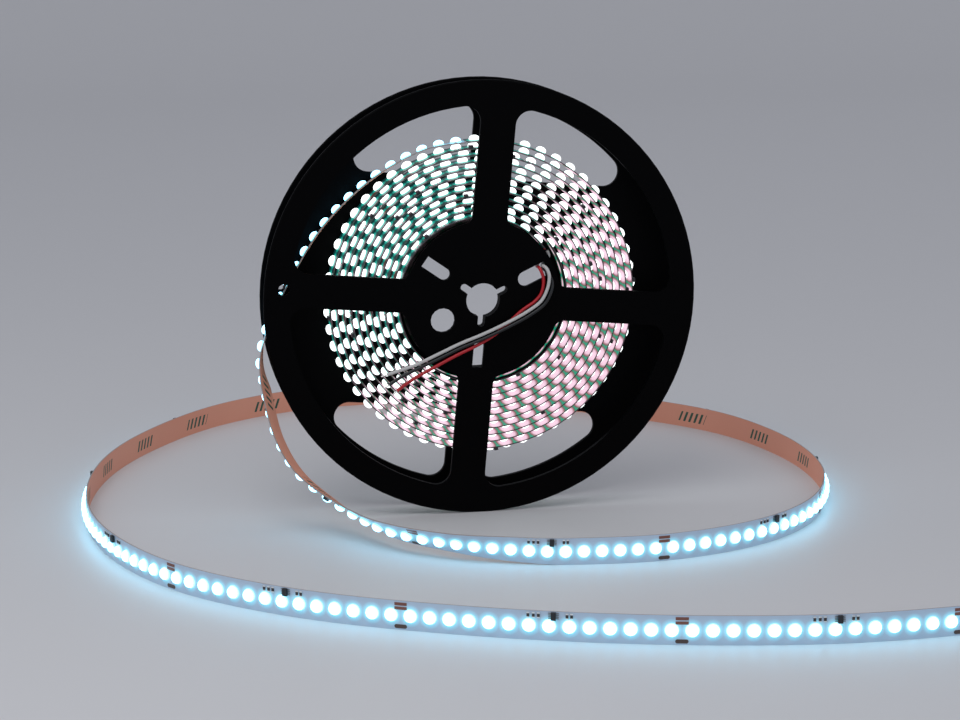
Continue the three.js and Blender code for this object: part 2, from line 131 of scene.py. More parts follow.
class SmoothRoute:
    """A centripetal curve through given points, measured along its length."""

    SAMPLES = 24

    def __init__(self, points: Sequence[Vector]) -> None:
        """Samples the curve.

        Args:
            points: The points that it passes through, in metres.
        """
        self.points = [Vector(p) for p in points]
        steps = (len(self.points) - 1) * self.SAMPLES
        self.samples = [self.at(i / self.SAMPLES) for i in range(steps + 1)]
        self.lengths = [0.0]
        for before, after in zip(self.samples, self.samples[1:]):
            self.lengths.append(self.lengths[-1] + (after - before).length)

    @property
    def length(self) -> float:
        """Returns the curve's length."""
        return self.lengths[-1]

    def at(self, place: float) -> Vector:
        """Returns the curve's point at a place, counted in points from the first."""
        last = len(self.points) - 1
        i = min(int(place), last - 1)
        weight = place - i
        p1, p2 = self.points[i], self.points[i + 1]
        p0 = self.points[i - 1] if i > 0 else p1 * 2 - p2
        p3 = self.points[i + 2] if i + 2 <= last else p2 * 2 - p1
        d0, d1, d2 = ((b - a).length ** 0.5 for a, b in ((p0, p1), (p1, p2), (p2, p3)))
        start = ((p1 - p0) / d0 - (p2 - p0) / (d0 + d1) + (p2 - p1) / d1) * d1
        end = ((p2 - p1) / d1 - (p3 - p1) / (d1 + d2) + (p3 - p2) / d2) * d1
        square = (p2 - p1) * 3 - start * 2 - end
        cube = (p1 - p2) * 2 + start + end
        return p1 + start * weight + square * weight**2 + cube * weight**3

    def place_at(self, distance: float) -> float:
        """Returns the place, counted in points, that lies a distance along the curve."""
        low = min(max(bisect_right(self.lengths, distance) - 1, 0), len(self.lengths) - 2)
        span = self.lengths[low + 1] - self.lengths[low]
        return (low + (distance - self.lengths[low]) / span) / self.SAMPLES

    def tangent(self, place: float) -> Vector:
        """Returns the way the curve runs at a place counted in points."""
        last = len(self.points) - 1
        step = 1e-3
        before, after = max(place - step, 0), min(place + step, last)
        return (self.at(after) - self.at(before)).normalized()


def rows_to_vectors(rows: Iterable[Row], lift: float = 0.0) -> list[Vector]:
    """Returns rows of millimetres as vectors in metres, lifted by a height in metres."""
    return [Vector(row) * MM + Vector((0, 0, lift)) for row in rows]


def outwards(angle: float) -> Vector:
    """Returns the direction away from the reel's axis at an angle from X towards Z."""
    return Vector((math.cos(angle), 0, math.sin(angle)))


@dataclass(frozen=True)
class Winding:
    """The strip's turns on the core."""

    hub_height: float
    inner_radius: float = 33.4 * MM
    outer_radius: float = 65.2 * MM
    leaving_angle: float = math.radians(95)

    def growth(self, length: float) -> float:
        """Returns how much the radius grows in a radian, for a wound length."""
        return (self.outer_radius**2 - self.inner_radius**2) / (2 * length)

    def radius(self, distance: float, length: float) -> float:
        """Returns the radius at a distance from the strip's inner end, for a wound length."""
        return math.sqrt(self.inner_radius**2 + 2 * self.growth(length) * distance)

    def station(self, distance: float, length: float, half_thickness: float) -> Station:
        """Finds a place on the winding.

        Args:
            distance: How far along the strip the place is, from its inner end.
            length: The wound length.
            half_thickness: Half of the strip's thickness.

        Returns:
            The station there.
        """
        radius = self.radius(distance, length)
        angle = self.leaving_angle - (self.outer_radius - radius) / self.growth(length)
        face = outwards(angle)
        along = Vector((-math.sin(angle), 0, math.cos(angle)))
        hub = Vector((0, 0, self.hub_height))
        return Station.facing(hub + face * (radius + half_thickness), along, face)

    def one_turn_in(self, distance: float, length: float) -> float:
        """Finds what a place on the winding lies over.

        Args:
            distance: How far along the strip the place is, from its inner end.
            length: The wound length.

        Returns:
            How far along the strip the place under it is, which is below zero on the innermost turn.
        """
        growth = self.growth(length)
        radius = self.radius(distance, length) - 2 * math.pi * growth
        return (radius**2 - self.inner_radius**2) / (2 * growth)


@dataclass(frozen=True)
class StripSizes:
    """Sizes of the strip and of what is soldered to it."""

    width: float = 10.8 * MM
    board: float = 0.3 * MM
    liner: float = 0.12 * MM
    liner_clearance: float = 0.05 * MM
    pitch: float = MM * 1000 / 140
    leds_per_segment: int = 14
    segments: int = 50
    end_gap: float = 0.3 * MM
    led_width: float = 4.5 * MM
    led_height: float = 2.1 * MM

    @property
    def thickness(self) -> float:
        """Returns the thickness of board and liner together, with the gap between them."""
        return self.board + self.liner_clearance + self.liner


# Where the loose length runs, as points on its middle line, each with the way its LEDs face
PEELED_ROUTE: tuple[tuple[Row, Row], ...] = (
    ((-22, 0, 153.2), (-0.3, 0.17, 0.95)),
    ((-38.8, 0, 145.2), (-0.47, 0.21, 0.88)),
    ((-52.8, 0, 135), (-0.6, 0.22, 0.8)),
    ((-66.9, 0, 120.2), (-0.77, 0.22, 0.63)),
    ((-80.5, 0, 98.1), (-0.9, 0.18, 0.42)),
    ((-86.2, 0, 86.9), (-0.94, 0.12, 0.3)),
    ((-90.2, -0.1, 76), (-0.98, 0.1, 0.15)),
    ((-91.8, -2.7, 67.5), (-0.95, 0.24, 0.04)),
    ((-90.8, -7.7, 58.5), (-0.87, 0.48, 0)),
    ((-86.9, -17.6, 39.2), (-0.88, 0.33, -0.3)),
    ((-79.8, -23.4, 26.1), (-0.72, 0.15, -0.65)),
    ((-69.1, -30.6, 17.1), (-0.5, -0.1, -0.85)),
    ((-58.5, -43, 11.7), (-0.38, -0.42, -0.82)),
    ((-47.2, -58, 9), (-0.35, -0.65, -0.67)),
    ((-25.2, -74.4, 7.5), (-0.35, -0.75, -0.55)),
    ((-5.4, -81.9, 6.3), (-0.3, -0.92, -0.25)),
)
# Then its places on the floor, where it stands on its edge
FLOOR_ROUTE: tuple[tuple[float, float], ...] = (
    (16, -87), (59.5, -89), (101, -75.5), (130.5, -50.5), (149.5, -13.5), (155.5, 27), (151, 67.5),
    (137.5, 103.5), (109, 137.5), (62, 173), (4.5, 195), (-51, 191), (-95, 167), (-131.5, 122.5),
    (-154, 75), (-164, 18), (-158.5, -36), (-135, -88), (-94.5, -128), (-36, -160.5), (25, -182.5),
    (86.5, -194.5), (130, -195), (180, -190), (232, -180),
)


class StripRun:
    """Every place along the whole strip, from its inner end on the core to its cut end on the floor."""

    def __init__(self, sizes: StripSizes, winding: Winding) -> None:
        """Lays the strip.

        Args:
            sizes: The strip's sizes.
            winding: The turns that are still on the core.
        """
        self.sizes = sizes
        self.winding = winding
        face = outwards(winding.leaving_angle)
        start = face * (winding.outer_radius + sizes.thickness / 2) + Vector((0, 0, winding.hub_height))
        floor = [Vector((x * MM, y * MM, sizes.width / 2)) for x, y in FLOOR_ROUTE]
        self.route = SmoothRoute([start, *rows_to_vectors(at for at, _ in PEELED_ROUTE), *floor])
        self.facings = [face, *(Vector(f).normalized() for _, f in PEELED_ROUTE)]
        for i in range(len(self.facings), len(self.route.points)):
            after = self.route.points[min(i + 1, len(self.route.points) - 1)]
            self.facings.append((after - self.route.points[i - 1]).cross(Vector((0, 0, 1))).normalized())
        self.loose_leds = int((self.route.length - sizes.end_gap) / sizes.pitch)
        self.wound_leds = sizes.segments * sizes.leds_per_segment - self.loose_leds

    def station(self, led: float) -> Station:
        """Returns the place at a distance counted in LEDs from the strip's inner end."""
        pitch = self.sizes.pitch
        if led < self.wound_leds:
            return self.winding.station(led * pitch, self.wound_leds * pitch, self.sizes.thickness / 2)
        left = (self.wound_leds + self.loose_leds - led) * pitch
        place = self.route.place_at(self.route.length - left)
        i = min(int(place), len(self.facings) - 2)
        middle, along = self.route.at(place), self.route.tangent(place)
        middle.z = max(middle.z, self.sizes.width / 2)
        if i > len(PEELED_ROUTE):
            along.z = 0
        return Station.facing(middle, along, self.facings[i].lerp(self.facings[i + 1], place - i))

    def span(self, stretch: Stretch) -> tuple[int, int]:
        """Returns a stretch's first LED and the one after its last."""
        if stretch is Stretch.WOUND:
            return 0, self.wound_leds
        return self.wound_leds, self.wound_leds + self.loose_leds

    def stations(self, stretch: Stretch, steps: int) -> list[Station]:
        """Returns evenly spaced stations of a stretch, so many to each LED."""
        first, last = self.span(stretch)
        margin = 1e-6
        count = (last - first) * steps
        places = [first + i / steps for i in range(count + 1)]
        if stretch is Stretch.WOUND:
            places[-1] = last - margin
        return [self.station(place) for place in places]


class Wiring:
    """Adds nodes to a shader tree and joins them."""

    def __init__(self, tree: bpy.types.NodeTree) -> None:
        """Starts on a tree.

        Args:
            tree: The node tree of a material or a group.
        """
        self.nodes = tree.nodes
        self.join = tree.links.new

    def add(self, kind: NodeKind, **values: object) -> bpy.types.Node:
        """Adds a node.

        Args:
            kind: Which node to add.
            **values: Inputs by name, each a value or the output that feeds it, or the node's own properties.

        Returns:
            The new node.
        """
        node = self.nodes.new(kind.value)
        for name, value in values.items():
            if hasattr(node, name) and not isinstance(value, Socket):
                setattr(node, name, value)
            else:
                self.feed(node.inputs[name.title()], value)
        return node

    def feed(self, socket: Socket, value: object) -> None:
        """Joins an input to the output that feeds it, or gives it a plain value."""
        if isinstance(value, Socket):
            self.join(value, socket)
        else:
            socket.default_value = value

    def maths(self, operation: str, *values: float | Socket) -> Socket:
        """Adds a maths node.

        Args:
            operation: What it works out.
            *values: Its inputs in order, each a number or the output that feeds it.

        Returns:
            Its output.
        """
        node = self.add(NodeKind.MATH, operation=operation)
        for socket, value in zip(node.inputs, values):
            self.feed(socket, value)
        return node.outputs["Value"]

    def mix(self, factor: Socket, first: object, second: object) -> Socket:
        """Adds a mix of two colours.

        Args:
            factor: The share of the second colour.
            first: A colour, or the output that feeds it.
            second: The same for the other colour.

        Returns:
            The mixed colour.
        """
        node = self.add(NodeKind.MIX, data_type="RGBA", factor=factor, a=first, b=second)
        return node.outputs["Result"]

    def ramp(self, place: Socket, stops: Sequence[tuple[float, RGB]]) -> Socket:
        """Adds a colour ramp.

        Args:
            place: Where on the ramp the colour is taken.
            stops: Each stop's position and colour, in order.

        Returns:
            The colour.
        """
        node = self.add(NodeKind.RAMP, fac=place)
        elements = node.color_ramp.elements
        while len(elements) < len(stops):
            elements.new(0.5)
        for element, (position, colour) in zip(elements, stops):
            element.position = position
            element.color = (*colour, 1)
        return node.outputs["Color"]

    def between(self, value: Socket, low: float, high: float) -> Socket:
        """Adds the nodes that tell whether a value lies between two limits.

        Args:
            value: The output that is compared.
            low: The lower limit.
            high: The upper limit.

        Returns:
            An output that is 1 between the limits and 0 elsewhere.
        """
        above = self.maths("GREATER_THAN", value, low)
        return self.maths("MULTIPLY", above, self.maths("LESS_THAN", value, high))

    def run(self) -> bpy.types.NodeOutputs:
        """Adds the nodes that read where on the strip a place is.

        Returns:
            Outputs, of which X is the way along the strip and Y the way across it.
        """
        place = self.add(NodeKind.ATTRIBUTE, attribute_name=RUN_MARK)
        return self.add(NodeKind.SEPARATE, vector=place.outputs["Vector"]).outputs


def surface_group() -> bpy.types.NodeTree:
    """Makes the group that gives a surface its fine mottling.

    Returns:
        A node group with the inputs Scale, Low and High, and the outputs Roughness, Mask and Height.
    """
    tree = bpy.data.node_groups.new(MOTTLING, "ShaderNodeTree")
    for way, names in (("INPUT", ("Scale", "Low", "High")), ("OUTPUT", ("Roughness", "Mask", "Height"))):
        for name in names:
            tree.interface.new_socket(name, in_out=way, socket_type="NodeSocketFloat")
    wiring = Wiring(tree)
    given = wiring.nodes.new("NodeGroupInput").outputs
    results = wiring.nodes.new("NodeGroupOutput").inputs
    place = wiring.add(NodeKind.COORDINATES).outputs["Object"]
    fine = wiring.add(NodeKind.NOISE, detail=4.0, scale=given["Scale"], vector=place)
    coarse = wiring.add(NodeKind.NOISE, detail=2.0, scale=18.0, vector=place)
    span = wiring.maths("SUBTRACT", given["High"], given["Low"])
    roughness = wiring.maths("MULTIPLY_ADD", coarse.outputs["Fac"], span, given["Low"])
    wiring.join(roughness, results["Roughness"])
    wiring.join(coarse.outputs["Fac"], results["Mask"])
    wiring.join(fine.outputs["Fac"], results["Height"])
    return tree


class Grain(Enum):
    """Kinds of fine mottling: lowest and highest roughness, scale, and strength of the bumps."""

    MOULDED = (0.45, 0.6, 500, 0.04)
    LACQUERED = (0.35, 0.5, 900, 0.03)
    GLASSY = (0.2, 0.3, 600, 0.02)
    PAPERY = (0.5, 0.65, 700, 0.08)
    CUT = (0.4, 0.5, 900, 0.03)
    MATT = (0.4, 0.55, 1500, 0.1)
    SOLDERED = (0.35, 0.5, 900, 0.05)
    PLATED = (0.3, 0.45, 900, 0.05)
    GLAZED = (0.4, 0.5, 1200, 0.05)
    PALE_SLEEVE = (0.4, 0.5, 800, 0.05)
    SLEEVE = (0.35, 0.45, 800, 0.05)


@dataclass(frozen=True)
class Finish:
    """A surface of one colour and a tint of it, with fine mottling in its roughness and height."""

    name: str
    colour: RGB
    tint: RGB
    grain: Grain
    metallic: float = 0.0
    specular: float = 0.5
    bump_depth: float = 0.2 * MM

    def make(self) -> bpy.types.Material:
        """Makes the material.

        Returns:
            The material, with its mottling and all that the kind of finish adds.
        """
        material = bpy.data.materials.new(self.name)
        material.use_nodes = True
        wiring = Wiring(material.node_tree)
        shader = wiring.nodes["Principled BSDF"].inputs
        shader["Metallic"].default_value = self.metallic
        shader["Specular IOR Level"].default_value = self.specular
        low, high, scale, strength = self.grain.value
        mottling = wiring.nodes.new("ShaderNodeGroup")
        mottling.node_tree = bpy.data.node_groups.get(MOTTLING) or surface_group()
        for name, value in (("Scale", scale), ("Low", low), ("High", high)):
            mottling.inputs[name].default_value = value
        bump = wiring.add(NodeKind.BUMP, strength=strength, distance=self.bump_depth,
                          height=mottling.outputs["Height"])
        wiring.join(mottling.outputs["Roughness"], shader["Roughness"])
        wiring.join(bump.outputs["Normal"], shader["Normal"])
        self.shade(wiring, shader, mottling.outputs["Mask"])
        return material

    def mottled(self, wiring: Wiring, mask: Socket) -> Socket:
        """Adds a mix of the colour and its tint, and returns it."""
        return wiring.mix(mask, (*self.colour, 1), (*self.tint, 1))

    def shade(self, wiring: Wiring, shader: bpy.types.NodeInputs, mask: Socket) -> None:
        """Adds the nodes of the colour, and in a lit finish those of its light.

        Args:
            wiring: The material's wiring.
            shader: The shader's inputs.
            mask: Where the tint shows.
        """
        wiring.join(self.mottled(wiring, mask), shader["Base Color"])


@dataclass(frozen=True)
class PaintedGlowFinish(Finish):
    """A flat strip's finish with painted light: emission for the LEDs' light on it, strongest round each LED.
    """

    glow: tuple[tuple[float, RGB], ...] = (
        (0.48, (0.55, 0.85, 0.9)), (0.53, (0.0, 0.28, 0.34)), (0.85, (0.0, 0.03, 0.06)))
    pitch: float = StripSizes.pitch
    reach: float = 5 * MM

    def shade(self, wiring: Wiring, shader: bpy.types.NodeInputs, mask: Socket) -> None:
        """Adds the nodes of the colour and of the painted light on it."""
        super().shade(wiring, shader, mask)
        shader["Emission Strength"].default_value = 1.0
        wiring.join(wiring.ramp(self.distance(wiring), self.glow), shader["Emission Color"])

    def distance(self, wiring: Wiring) -> Socket:
        """Adds the nodes that measure how far a place is from the middle of its LED.

        Args:
            wiring: The material's wiring.

        Returns:
            An output with the distance as a share of the reach.
        """
        run = wiring.run()
        folded = wiring.maths("PINGPONG", run["X"], self.pitch / 2)
        along = wiring.maths("SUBTRACT", self.pitch / 2, folded)
        squares = [wiring.maths("POWER", way, 2) for way in (along, run["Y"])]
        away = wiring.maths("SQRT", wiring.maths("ADD", *squares))
        return wiring.maths("DIVIDE", away, self.reach)


@dataclass(frozen=True)
class LensFinish(Finish):
    """A lit LED: white over its crown, cooler and dimmer round its foot."""

    crown: RGB = (0.28, 0.72, 1.0)
    foot: RGB = (0.0, 0.15, 0.18)
    foot_share: float = 0.1
    crown_share: float = 0.36
    strength: float = 4.2

    def shade(self, wiring: Wiring, shader: bpy.types.NodeInputs, mask: Socket) -> None:
        """Sets the colour, which has no tint, and adds the nodes of the light."""
        shader["Base Color"].default_value = (*self.colour, 1)
        shader["Emission Strength"].default_value = self.strength
        height = wiring.add(NodeKind.ATTRIBUTE, attribute_name=HEIGHT_MARK).outputs["Fac"]
        stops = ((self.foot_share, self.foot), (self.crown_share, self.crown))
        wiring.join(wiring.ramp(height, stops), shader["Emission Color"])


@dataclass(frozen=True)
class LinerFinish(Finish):
    """Waxed paper with plain groups of slanting bars along it."""

    ink: RGB = (0.02, 0.09, 0.06)
    slant: float = 0.4
    group_pitch: float = 46 * MM
    group_length: float = 15 * MM
    bar_pitch: float = 3 * MM
    bar_length: float = 1.3 * MM
    band: tuple[float, float] = (-2.6 * MM, 2.2 * MM)

    def shade(self, wiring: Wiring, shader: bpy.types.NodeInputs, mask: Socket) -> None:
        """Adds the nodes of the paper's colour and of the ink on it."""
        printed = wiring.mix(self.bars(wiring), self.mottled(wiring, mask), (*self.ink, 1))
        wiring.join(printed, shader["Base Color"])

    def bars(self, wiring: Wiring) -> Socket:
        """Adds the nodes of the printed bars.

        Args:
            wiring: The material's wiring.

        Returns:
            An output that is 1 on a bar and 0 elsewhere.
        """
        run = wiring.run()
        slanted = wiring.maths("MULTIPLY_ADD", run["Y"], self.slant, run["X"])
        printed = wiring.between(run["Y"], *self.band)
        for pitch, length in ((self.group_pitch, self.group_length), (self.bar_pitch, self.bar_length)):
            cycle = wiring.maths("MODULO", slanted, pitch)
            printed = wiring.maths("MULTIPLY", printed, wiring.between(cycle, 0, length))
        return printed


REEL_PLASTIC = Finish("reel_plastic", (0.0004, 0.0004, 0.0006), (0.0008, 0.0008, 0.0012), Grain.MOULDED,
                      specular=0.04)
# The loose board's emission is painted light: it stands for the LEDs' light on the board, strongest round each
# LED.
BOARD_LACQUER_PAINTED_GLOW = PaintedGlowFinish("board_lacquer_painted_glow", (0.5, 0.53, 0.6), (0.44, 0.48, 0.56), Grain.LACQUERED)
# The board in the turns is a darker copy of the loose board: painted shade. Its teal emission is painted light
# of the LEDs.
WOUND_LACQUER_PAINTED_SHADE_AND_GLOW = PaintedGlowFinish("wound_lacquer_painted_shade_and_glow", (0.015, 0.022, 0.03), (0.01, 0.015, 0.02), Grain.LACQUERED,
                              glow=((0.46, (0.0, 0.5, 0.38)), (0.78, (0.0, 0.03, 0.03))))
LENS = LensFinish("led_lens", (0.8, 0.9, 0.9), (0.8, 0.9, 0.9), Grain.GLASSY)
WOUND_LENS = LensFinish("wound_led_lens", (0.5, 0.7, 0.65), (0.5, 0.7, 0.65), Grain.GLASSY,
                        crown=(0.95, 1.0, 1.0), foot=(0.0, 0.3, 0.24), foot_share=0.0, crown_share=0.16,
                        strength=1.9)
LINER_PAPER = LinerFinish("liner_paper", (0.74, 0.3, 0.2), (0.84, 0.4, 0.28), Grain.PAPERY)
# The liner in the turns is painted dark as shade; its pink and green emission is painted light of the LEDs on
# the turn under it.
WOUND_LINER_PAINTED_SHADE_AND_GLOW = PaintedGlowFinish("liner_in_the_turns_painted_shade_and_glow", (0.06, 0.03, 0.03), (0.09, 0.05, 0.05), Grain.PAPERY, glow=(
    (0.4, (0.8, 0.52, 0.66)), (0.5, (0.5, 0.24, 0.3)), (0.6, (0.16, 0.08, 0.07)),
    (0.7, (0.0, 0.3, 0.18)), (0.84, (0.0, 0.3, 0.18)), (0.92, (0.0, 0.0, 0.0))))
LOOSE_EDGE = Finish("strip_edge", (0.3, 0.27, 0.26), (0.36, 0.33, 0.32), Grain.CUT)
# The strip's edges in the turns are a darker copy of the loose edges: painted shade.
WOUND_EDGE_PAINTED_SHADE = Finish("strip_edge_in_the_turns_painted_shade", (0.06, 0.035, 0.045), (0.08, 0.05, 0.06), Grain.CUT)
CHIP_EPOXY = Finish("chip_epoxy", (0.012, 0.012, 0.016), (0.02, 0.02, 0.024), Grain.MATT)
TINNED = Finish("tinned", (0.78, 0.77, 0.75), (0.9, 0.88, 0.86), Grain.SOLDERED, metallic=1.0)
# The chip legs are real metal, painted dark grey as painted shade: the darkness stands for the shadow between
# them.
LEG_METAL_PAINTED_SHADE = Finish("chip_leg_metal_painted_shade", (0.2, 0.2, 0.2), (0.34, 0.33, 0.32), Grain.PLATED, metallic=1.0)
COPPER_PAD = Finish("pad_copper", (0.15, 0.05, 0.035), (0.26, 0.09, 0.06), Grain.PLATED)
DARK_PAD = Finish("pad_dark", (0.06, 0.03, 0.022), (0.1, 0.05, 0.035), Grain.PLATED)
RESISTOR_BROWN = Finish("resistor_body", (0.03, 0.02, 0.02), (0.06, 0.04, 0.035), Grain.GLAZED)
WHITE_SLEEVE = Finish("white_sleeve", (0.5, 0.5, 0.49), (0.58, 0.58, 0.57), Grain.PALE_SLEEVE)
BLACK_SLEEVE = Finish("black_sleeve", (0.004, 0.006, 0.008), (0.008, 0.01, 0.012), Grain.SLEEVE)
RED_SLEEVE = Finish("red_sleeve", (0.42, 0.004, 0.012), (0.5, 0.008, 0.016), Grain.SLEEVE)


class Palette:
    """Materials made once from their finishes."""

    def __init__(self) -> None:
        """Starts with none made."""
        self.made: dict[str, bpy.types.Material] = {}

    def material(self, finish: Finish) -> bpy.types.Material:
        """Returns a finish's material."""
        if finish.name not in self.made:
            self.made[finish.name] = finish.make()
        return self.made[finish.name]

    def paint(self, piece: Piece, finish: Finish) -> None:
        """Gives a piece one finish all over."""
        piece.data.materials.clear()
        piece.data.materials.append(self.material(finish))

    def paint_ribbon(self, piece: Piece, finish: Finish, edge: Finish) -> None:
        """Gives a ribbon one finish, and another on its two narrow edges."""
        self.paint(piece, finish)
        piece.data.materials.append(self.material(edge))
        ends = 2
        for face in piece.data.polygons:
            face.material_index = int(face.index >= ends and (face.index - ends) % 2 == 1)


@dataclass
class Shape:
    """Points and faces of a mesh that is being built."""

    points: list[Vector] = field(default_factory=list)
    faces: list[tuple[int, ...]] = field(default_factory=list)

    def ribbon(self, stations: Sequence[Station], half_width: float, low: float, high: float) -> None:
        """Adds a closed flat ribbon.

        Args:
            stations: Its places, in order.
            half_width: Half of its width.
            low: Its back's distance out from the middle line.
            high: Its front's distance out from the middle line.
        """
        first = len(self.points)
        corners = ((-half_width, low), (half_width, low), (half_width, high), (-half_width, high))
        for place in stations:
            self.points.extend(place.point(side, out) for side, out in corners)
        self.close_rings(first, len(corners))

    def tube(self, route: SmoothRoute, radius: float, sides: int, step: float) -> list[Vector]:
        """Adds a closed round tube.

        Args:
            route: The line that it follows.
            radius: Its radius.
            sides: How many sides its section has.
            step: How far apart its rings are.

        Returns:
            The points of its middle line.
        """
        least = 8
        count = max(least, round(route.length / step))
        places = [route.place_at(route.length * i / count) for i in range(count)] + [len(route.points) - 1.0]
        middles = [route.at(place) for place in places]
        side = route.tangent(0).orthogonal().normalized()
        first = len(self.points)
        for place, middle in zip(places, middles):
            along = route.tangent(place)
            side = (side - along * side.dot(along)).normalized()
            other = along.cross(side)
            for k in range(sides):
                angle = 2 * math.pi * k / sides
                self.points.append(middle + (side * math.cos(angle) + other * math.sin(angle)) * radius)
        self.close_rings(first, sides)
        return middles

    def close_rings(self, first: int, size: int) -> None:
        """Adds the faces along rings of points and over the first and the last ring.

        Args:
            first: The first point of the first ring.
            size: How many points each ring has.
        """
        last = len(self.points) - size
        self.faces.append(tuple(range(first + size - 1, first - 1, -1)))
        self.faces.append(tuple(range(last, last + size)))
        for a in range(first, last, size):
            for i in range(size):
                n = (i + 1) % size
                self.faces.append((a + i, a + n, a + size + n, a + size + i))

    def copies(self, pattern: bpy.types.Mesh, matrices: Iterable[Matrix]) -> None:
        """Adds a copy of a modelled piece at each matrix."""
        corners = [vertex.co.copy() for vertex in pattern.vertices]
        loops = [tuple(face.vertices) for face in pattern.polygons]
        for matrix in matrices:
            first = len(self.points)
            self.points.extend(matrix @ corner for corner in corners)
            self.faces.extend(tuple(first + i for i in loop) for loop in loops)

    def piece(self, name: str, smooth_angle: float = 40) -> Piece:
        """Makes the object.

        Args:
            name: The piece's name.
            smooth_angle: The largest angle in degrees that is still shaded smooth.

        Returns:
            The new object, at the origin.
        """
        mesh = bpy.data.meshes.new(name)
        mesh.from_pydata([tuple(p) for p in self.points], [], self.faces)
        mesh.update()
        made = bpy.data.objects.new(name, mesh)
        bpy.context.scene.collection.objects.link(made)
        select_only(made)
        bpy.ops.object.shade_smooth_by_angle(angle=math.radians(smooth_angle))
        return made


def select_only(piece: Piece) -> None:
    """Selects one object and makes it active."""
    bpy.ops.object.select_all(action="DESELECT")
    piece.select_set(True)
    bpy.context.view_layer.objects.active = piece


def in_edit_mode(piece: Piece, *steps: Callable[[], object]) -> None:
    """Runs modelling steps on all of a piece in edit mode."""
    select_only(piece)
    bpy.ops.object.mode_set(mode="EDIT")
    bpy.ops.mesh.select_all(action="SELECT")
    for step in steps:
        step()
    bpy.ops.object.mode_set(mode="OBJECT")


def take_mesh(piece: Piece) -> bpy.types.Mesh:
    """Returns a modelled piece's mesh with its place applied, and removes its object."""
    select_only(piece)
    bpy.ops.object.transform_apply(location=True, rotation=True, scale=True)
    mesh = piece.data
    bpy.data.objects.remove(piece)
    return mesh


def modelled_block(size: Row, lift: float, bevel: float) -> bpy.types.Mesh:
    """Models a small block with broken edges.

    Args:
        size: Its length, width and height in metres.
        lift: How high its foot is above the origin.
        bevel: The width of its broken edges in metres.

    Returns:
        The block's mesh.
    """
    bpy.ops.mesh.primitive_cube_add(size=1, location=(0, 0, lift + size[2] / 2))
    block = bpy.context.object
    block.scale = size
    bpy.ops.object.transform_apply(location=True, rotation=True, scale=True)
    in_edit_mode(block, lambda: bpy.ops.mesh.bevel(offset=bevel, segments=1, affect="EDGES"))
    return take_mesh(block)


def modelled_round_pad(size: Row) -> bpy.types.Mesh:
    """Models a flat pad with round ends.

    Args:
        size: Its length, width and height in metres.

    Returns:
        The pad's mesh, with its foot at the origin.
    """
    length, width, height = size
    sides = 16
    bpy.ops.mesh.primitive_cylinder_add(vertices=sides, radius=width / 2, depth=height,
                                        location=(0, 0, height / 2), rotation=(0, 0, math.pi / sides))
    pad = bpy.context.object
    bpy.ops.object.transform_apply(location=True, rotation=True, scale=True)
    for vertex in pad.data.vertices:
        vertex.co.x += math.copysign((length - width) / 2, vertex.co.x)
    return take_mesh(pad)


def modelled_lens(width: float, height: float) -> bpy.types.Mesh:
    """Models one LED: a domed lens that rises from a short round wall.

    Args:
        width: The lens's diameter.
        height: Its height.

    Returns:
        The lens's mesh, with its foot at the origin.
    """
    dome, wall = 0.5, 0.16
    bpy.ops.mesh.primitive_uv_sphere_add(segments=12, ring_count=8, radius=dome)
    lens = bpy.context.object
    in_edit_mode(lens, lambda: bpy.ops.mesh.bisect(plane_co=(0, 0, -wall), plane_no=(0, 0, 1),
                                                   clear_inner=True, use_fill=True))
    lens.scale = (width, width, height / (dome + wall))
    lens.location = (0, 0, height * wall / (dome + wall))
    return take_mesh(lens)


@dataclass(frozen=True)
class SmallPart:
    """A kind of small part on the board, with its size and its places in every segment.

    A place is the number of LEDs from the cut line, then how much further along it is and how far across.
    """

    kind: str
    finish: Finish
    size: Row
    places: tuple[Row, ...]
    lift: float = 0.0
    bevel: float = 0.04 * MM
    slot: str = "board"
    round_ends: bool = False


CHIP_PLACE = (7.5, 1.6 * MM, 3.75 * MM)
LEG_REACH = 1.35 * MM
LEG_PITCH = 0.65 * MM
RESISTORS_ACROSS = 3.8 * MM
RESISTOR_PLACES = tuple((led, along * MM, RESISTORS_ACROSS) for led, along in (
    (6.5, -0.3), (6.5, 1.6), (6.5, 3.4), (8.5, -0.8), (8.5, 0.8)))
CAP_REACH = 0.8 * MM
PAD_BEVEL = 0.02 * MM
SMALL_PARTS = (
    SmallPart("signal_pads", COPPER_PAD, (4.6 * MM, 1.15 * MM, 0.06 * MM),
              ((0, 0, 4.2 * MM), (0, 0, 2.65 * MM)), bevel=PAD_BEVEL),
    SmallPart("power_pads", DARK_PAD, (4.7 * MM, 1.5 * MM, 0.06 * MM), ((0, 0, -4.1 * MM),), round_ends=True),
    SmallPart("resistors", RESISTOR_BROWN, (0.95 * MM, 1.2 * MM, 0.4 * MM), RESISTOR_PLACES),
    SmallPart("resistor_caps", TINNED, (1 * MM, 0.42 * MM, 0.42 * MM),
              tuple((led, along, across + end * CAP_REACH)
                    for led, along, across in RESISTOR_PLACES for end in (-1, 1))),
    SmallPart("chip_legs", LEG_METAL_PAINTED_SHADE, (1.1 * MM, 0.3 * MM, 0.18 * MM),
              tuple((CHIP_PLACE[0], CHIP_PLACE[1] + end * LEG_REACH, CHIP_PLACE[2] + row * LEG_PITCH)
                    for end in (-1, 1) for row in (-1.5, -0.5, 0.5, 1.5)), lift=0.05 * MM),
)
WOUND_CHIPS = SmallPart("chips", CHIP_EPOXY, (1.7 * MM, 2.8 * MM, 1.1 * MM), (CHIP_PLACE,), lift=0.12 * MM,
                        bevel=0.1 * MM, slot="chip")


class Layer(Enum):
    """The two layers of the strip."""

    BOARD = "board"
    LINER = "liner"


